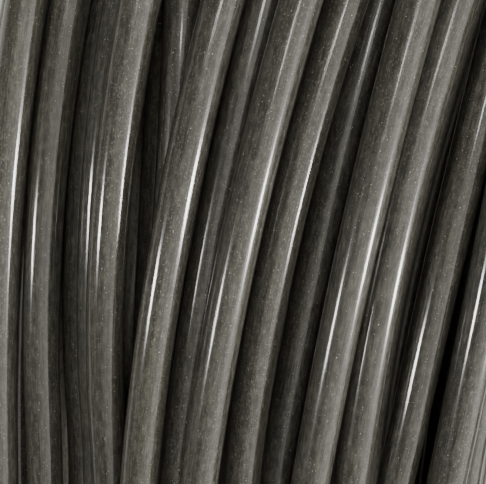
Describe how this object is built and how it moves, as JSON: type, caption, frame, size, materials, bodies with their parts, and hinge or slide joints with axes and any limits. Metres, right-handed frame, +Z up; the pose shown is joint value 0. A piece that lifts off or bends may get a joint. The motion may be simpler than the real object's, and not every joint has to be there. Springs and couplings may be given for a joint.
{
  "type": "coil of cold heading wire",
  "caption": "Wide, low coil of thick dark round steel wire with an open eye, lying on its end and tied by flat steel straps with crimped seals.",
  "frame": {"origin": "on the coil's axis, at the level of the floor it lies on", "axes": "+Z up along the coil's axis; the straps stand at 45, 135, 225 and 315 degrees round from +X"},
  "size_m": [1.18, 1.18, 0.3019],
  "materials": {
    "wire": "dark drawn wire with a thin lubricant coat, satin with sharp highlights",
    "strap_steel": "black painted and waxed strapping",
    "seal_steel": "galvanised sheet"
  },
  "bodies": {
    "root": {"wire_coil": "wire", "strap_1": "strap_steel", "strap_2": "strap_steel", "strap_3": "strap_steel", "strap_4": "strap_steel", "seal_1": "seal_steel", "seal_2": "seal_steel", "seal_3": "seal_steel", "seal_4": "seal_steel"}
  },
  "joints": []
}
